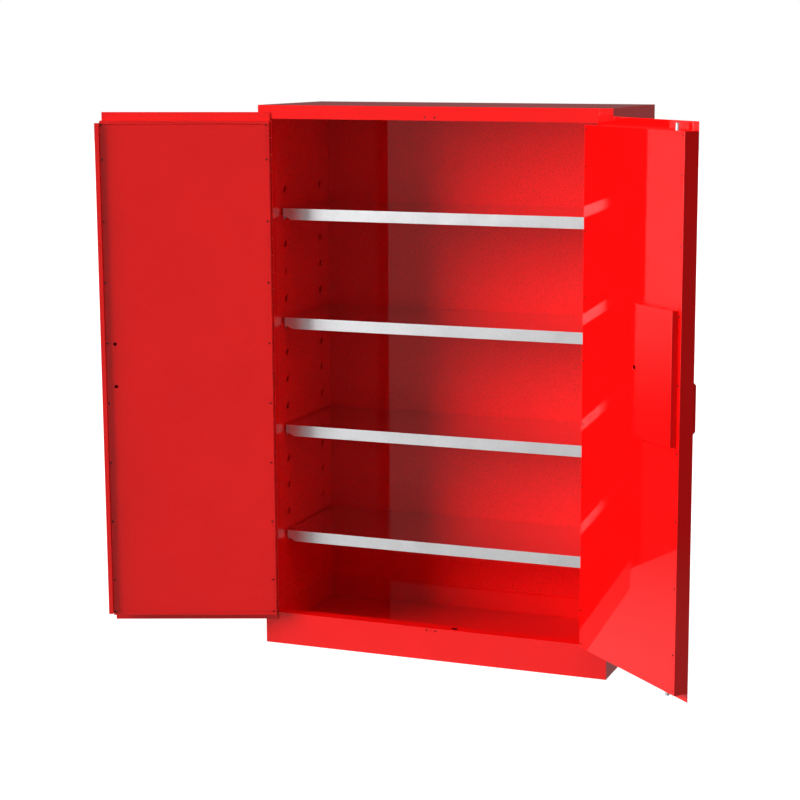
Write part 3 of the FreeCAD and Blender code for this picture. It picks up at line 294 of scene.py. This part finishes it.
class WorldGraph:
    """The world's node tree, with arithmetic on directions."""

    def __init__(self):
        world = bpy.data.worlds.new("studio")
        scene.world = world
        world.use_nodes = True
        self.tree = world.node_tree
        self.tree.nodes.clear()
        direction = self.add("ShaderNodeTexCoord").outputs["Generated"]
        parts = self.add("ShaderNodeSeparateXYZ")
        self.tree.links.new(direction, parts.inputs[0])
        self.right, self.back, self.height = parts.outputs
        left = self.math("MULTIPLY", self.right, -1.0)
        front = self.math("MULTIPLY", self.back, -1.0)
        self.azimuth = self.math("ARCTAN2", left, front)

    def add(self, kind):
        return self.tree.nodes.new(kind)

    def math(self, operation, first, second):
        node = self.add("ShaderNodeMath")
        node.operation = operation
        for socket, value in zip(node.inputs, (first, second)):
            if isinstance(value, bpy.types.NodeSocket):
                self.tree.links.new(value, socket)
            else:
                socket.default_value = value
        return node.outputs[0]

    def ramp(self, value, start, end, low, high):
        node = self.add("ShaderNodeMapRange")
        node.interpolation_type = "SMOOTHSTEP"
        for key, number in zip(("From Min", "From Max", "To Min", "To Max"), (start, end, low, high)):
            node.inputs[key].default_value = number
        self.tree.links.new(value, node.inputs["Value"])
        return node.outputs["Result"]

    def blend(self, share, first, second):
        """The first number where the share is 0, the second where it is 1."""
        rest = self.math("SUBTRACT", 1.0, share)
        return self.math("ADD", self.math("MULTIPLY", rest, first), self.math("MULTIPLY", share, second))

    def soft_box(self, left, right, low, high, blur):
        """1 inside a window of azimuth, in degrees to the left of the front, and height."""
        edge = radians(blur)
        side_a = self.ramp(self.azimuth, radians(left) - edge, radians(left) + edge, 0.0, 1.0)
        side_b = self.ramp(self.azimuth, radians(right) - edge, radians(right) + edge, 1.0, 0.0)
        base = self.ramp(self.height, low - BOX_SOFT_LOW, low + BOX_SOFT_LOW, 0.0, 1.0)
        top = self.ramp(self.height, high - BOX_SOFT_HIGH, high + BOX_SOFT_HIGH, 1.0, 0.0)
        return self.math("MULTIPLY", self.math("MULTIPLY", side_a, side_b), self.math("MULTIPLY", base, top))

    def glow(self, strength):
        """A white background of a given strength."""
        node = self.add("ShaderNodeBackground")
        node.inputs["Color"].default_value = (1.0, 1.0, 1.0, 1.0)
        if isinstance(strength, bpy.types.NodeSocket):
            self.tree.links.new(strength, node.inputs["Strength"])
        else:
            node.inputs["Strength"].default_value = strength
        return node.outputs[0]

    def choose(self, switch, without, with_it):
        node = self.add("ShaderNodeMixShader")
        for socket, value in zip(node.inputs, (switch, without, with_it)):
            self.tree.links.new(value, socket)
        return node.outputs[0]


def mirrored_room(w):
    """The dim room that glossy surfaces mirror, with a shaded right side and a pale ground."""
    room_back = w.ramp(w.height, *BACK_HORIZON, ROOM_BACK_LOW, ROOM_BACK_HIGH)
    room = w.blend(w.ramp(w.back, *FRONT_TO_BACK, 0.0, 1.0), ROOM_FRONT, room_back)
    shade_start, shade_middle, shade_end = (radians(angle) for angle in RIGHT_SHADE)
    darker = w.ramp(w.azimuth, shade_start, shade_middle, 1.0, ROOM_RIGHT)
    lighter = w.ramp(w.azimuth, shade_middle, shade_end, ROOM_RIGHT, 1.0)
    room = w.math("MULTIPLY", room, w.math("MAXIMUM", darker, lighter))
    turn_start, turn_end = (radians(angle) for angle in GROUND_TURN)
    ground_side = w.ramp(w.azimuth, turn_start, turn_end, GROUND_RIGHT, GROUND_LEFT)
    ground = w.math("MULTIPLY", w.ramp(w.height, *GROUND_HORIZON, 1.0, 0.0), ground_side)
    key = w.math("MULTIPLY", w.soft_box(*KEY_WINDOW), KEY_MIRRORED)
    return w.math("ADD", w.math("MAXIMUM", room, ground), key)


def soft_light(w):
    """The light on matt surfaces: an even surround, a bright ceiling and one large lamp."""
    ambient = w.ramp(w.back, *FRONT_TO_BACK, AMBIENT_FRONT, AMBIENT_BACK)
    ceiling = w.ramp(w.height, *CEILING_RISE, 0.0, CEILING)
    lamp = w.math("MULTIPLY", w.soft_box(*LAMP_WINDOW), LAMP_LIGHT)
    return w.math("ADD", w.math("ADD", ambient, ceiling), lamp)


def studio():
    """White for the camera, the mirrored room for glossy rays, and the soft light for all others."""
    w = WorldGraph()
    path = w.add("ShaderNodeLightPath")
    unseen = w.choose(path.outputs["Is Glossy Ray"], w.glow(soft_light(w)), w.glow(mirrored_room(w)))
    result = w.choose(path.outputs["Is Camera Ray"], unseen, w.glow(1.0))
    output = w.add("ShaderNodeOutputWorld")
    w.tree.links.new(result, output.inputs["Surface"])


# Fitted to the cabinet's outline in the photograph. The shifts are shares of the image's width.
CAMERA_PLACE = (2.0233, -5.4879, 1.8030)
CAMERA_DIP = 0.16797
CAMERA_TURN = 0.35293
CAMERA_SENSOR = 36.0
CAMERA_LENS = 87.53
CAMERA_SHIFT = (-0.0722, -0.0217)
CAMERA_REACH = 100.0


def camera():
    """The photograph's camera."""
    data = bpy.data.cameras.new("camera")
    data.sensor_width = CAMERA_SENSOR
    data.lens = CAMERA_LENS
    data.shift_x, data.shift_y = CAMERA_SHIFT
    data.clip_end = CAMERA_REACH
    obj = bpy.data.objects.new("camera", data)
    obj.location = CAMERA_PLACE
    obj.rotation_euler = (pi / 2 - CAMERA_DIP, 0.0, CAMERA_TURN)
    scene.collection.objects.link(obj)
    scene.camera = obj


finish_cad_nodes()
for obj in nodes.values():
    soften(obj)
floor()
studio()
camera()
scene.view_settings.view_transform = "Standard"
